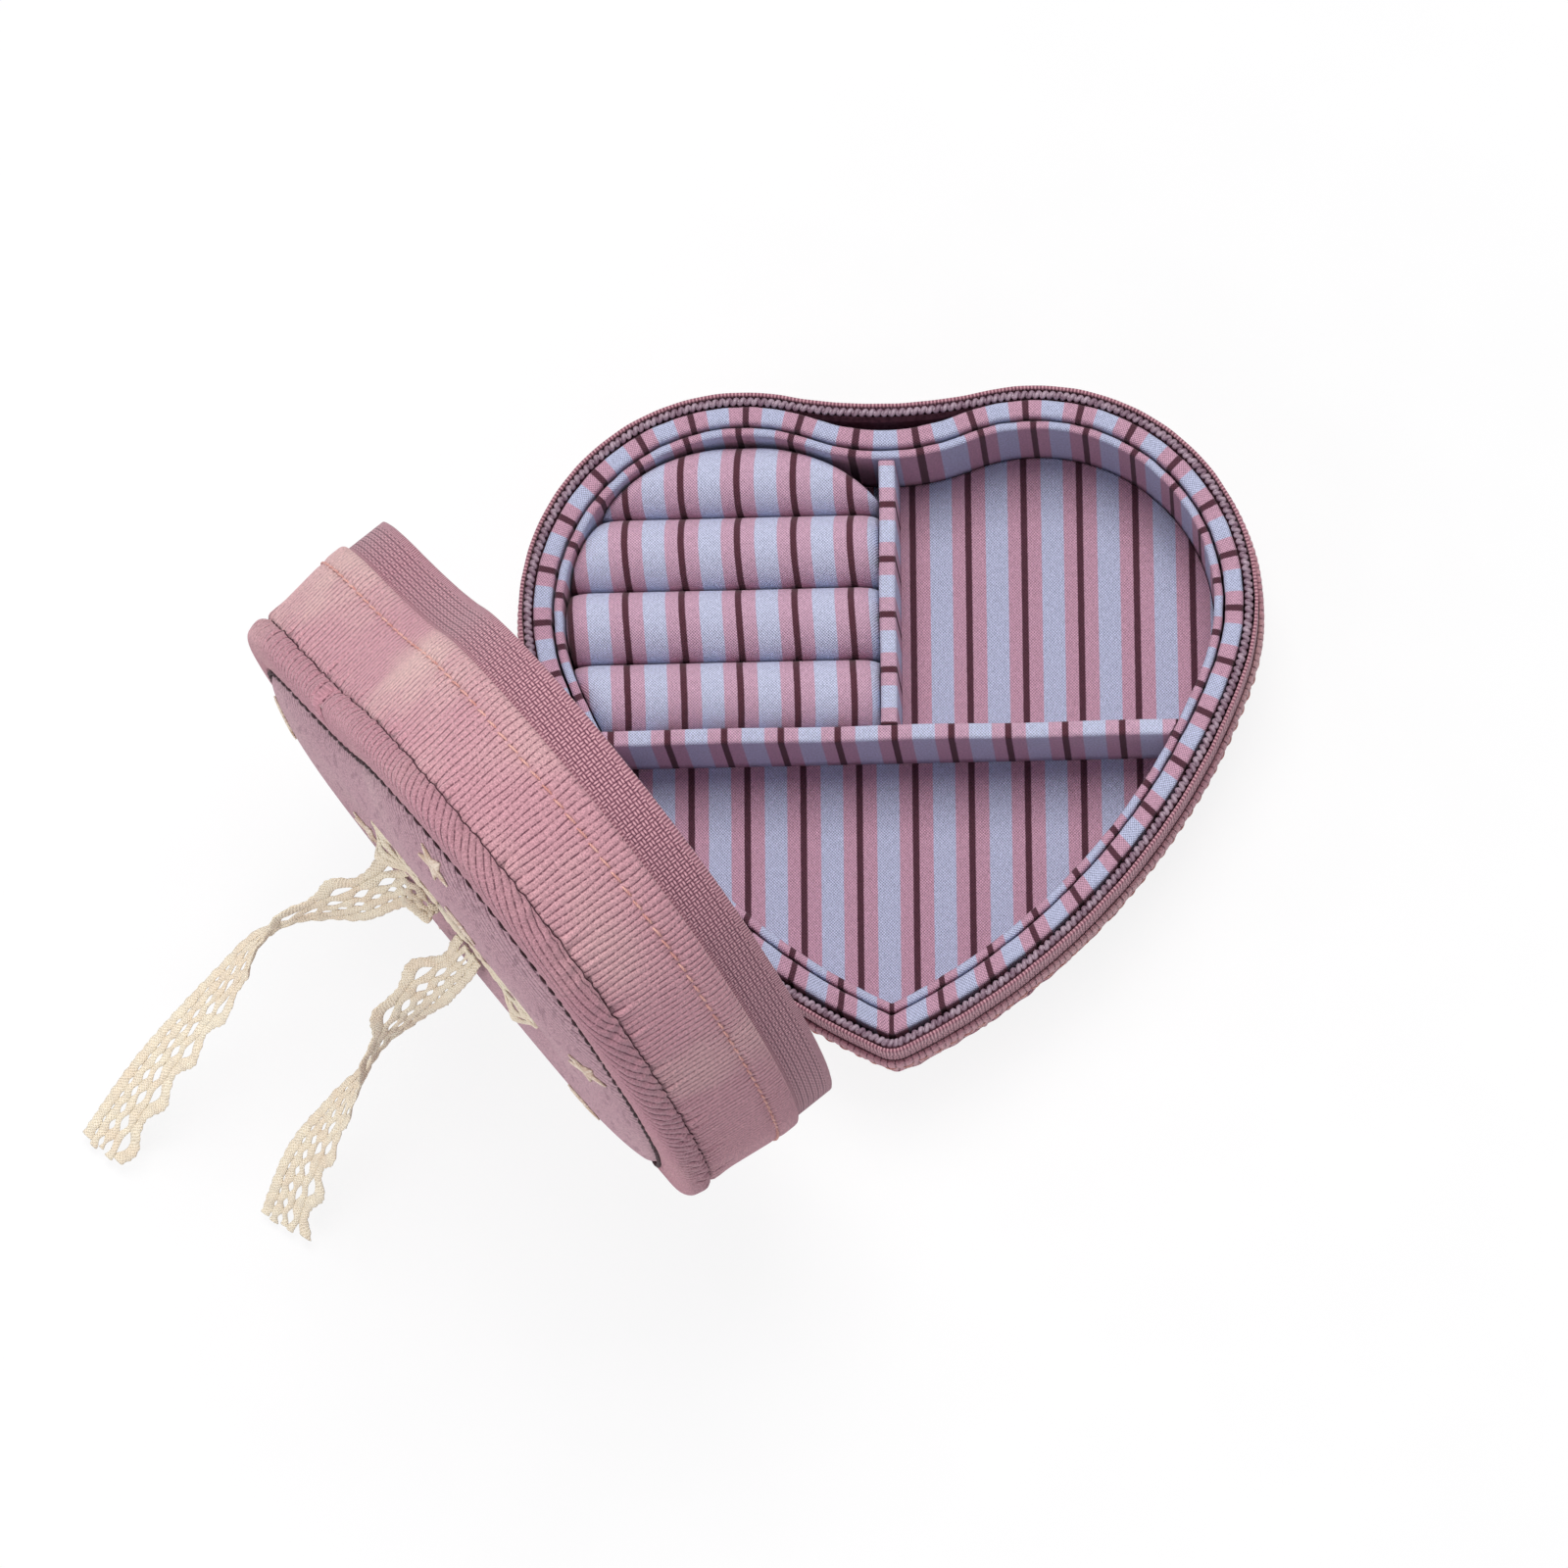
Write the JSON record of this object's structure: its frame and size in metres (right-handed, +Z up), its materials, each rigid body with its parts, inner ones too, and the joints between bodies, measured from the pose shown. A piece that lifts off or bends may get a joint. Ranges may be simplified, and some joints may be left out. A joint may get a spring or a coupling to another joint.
{
  "type": "zip-around jewellery case",
  "caption": "Heart-shaped zip-around jewellery case in corduroy, with a striped tray of ring rolls and dividers, a fabric-hinged lid and a lace bow.",
  "frame": {"origin": "the heart's reference point, midway between the flanks, on the surface the case stands on", "axes": "+Z up, +Y towards the heart's notch, +X towards the flank away from the hinge; millimetre model"},
  "size_m": [0.2484, 0.1774, 0.1796],
  "materials": {
    "corduroy": "dusty mauve needlecord, fine wales",
    "zip_tape": "woven tape, matte",
    "zip_coil": "coiled nylon, satin",
    "zip_metal": "satin enamel dyed to match the tape",
    "board": "raw grey-brown board",
    "striped_cotton": "plain-weave cotton, pink, blue and maroon stripes",
    "stuffed_cotton": "striped cotton over foam",
    "lining": "plain-weave cotton, pink, blue and maroon stripes",
    "foam": "soft foam sheet",
    "thread": "salmon sewing thread",
    "quilt_thread": "dark brown sewing thread",
    "embroidery": "cream embroidery thread",
    "lace": "cream cotton lace"
  },
  "bodies": {
    "base": {"base_bottom_panel": "corduroy", "base_outer_wall": "corduroy", "base_zip_tape": "zip_tape", "base_hinge_strip": "zip_tape", "base_zip_coil": "zip_coil", "base_end_stops": "zip_metal", "base_wall_board": "board", "base_floor_board": "board", "tray_collar": "striped_cotton", "tray_inner_wall": "striped_cotton", "tray_floor": "striped_cotton", "cross_divider": "striped_cotton", "upright_divider": "striped_cotton", "ring_roll_1": "stuffed_cotton", "ring_roll_2": "stuffed_cotton", "ring_roll_3": "stuffed_cotton", "ring_roll_4": "stuffed_cotton", "base_topstitch": "thread"},
    "lid": {"lid_outer_wall": "corduroy", "lid_edge_roll": "corduroy", "lid_field_panel": "corduroy", "lid_zip_tape": "zip_tape", "lid_hinge_strip": "zip_tape", "lid_zip_coil": "zip_coil", "lid_end_stops": "zip_metal", "lid_wall_board": "board", "lid_top_board": "board", "lid_lining_wall": "lining", "lid_lining_panel": "lining", "lid_top_foam": "foam", "lid_topstitch": "thread", "lid_quilt_stitch": "quilt_thread", "embroidered_stars": "embroidery", "bow_knot": "lace", "bow_loop_left": "lace", "bow_loop_right": "lace", "bow_tail_left": "lace", "bow_tail_right": "lace"},
    "slider": {"zip_slider": "zip_metal"},
    "pull_tab": {"zip_pull_tab": "zip_metal"}
  },
  "joints": [
    {"name": "lid_hinge", "type": "hinge", "parent": "base", "child": "lid", "pos_m": [-0.05215, -0.02757, 0.034], "axis": [0.6198, -0.7848, 0], "range_deg": [-89, 51]},
    {"name": "zip_travel", "type": "slide", "parent": "base", "child": "slider", "axis": [-0.4392, 0.8984, 0], "range_m": [0, 0.006]},
    {"name": "pull_swing", "type": "hinge", "parent": "slider", "child": "pull_tab", "pos_m": [-0.0712, -0.00429, 0.034], "axis": [-0.4392, 0.8984, 0], "range_deg": [0, 32]}
  ]
}
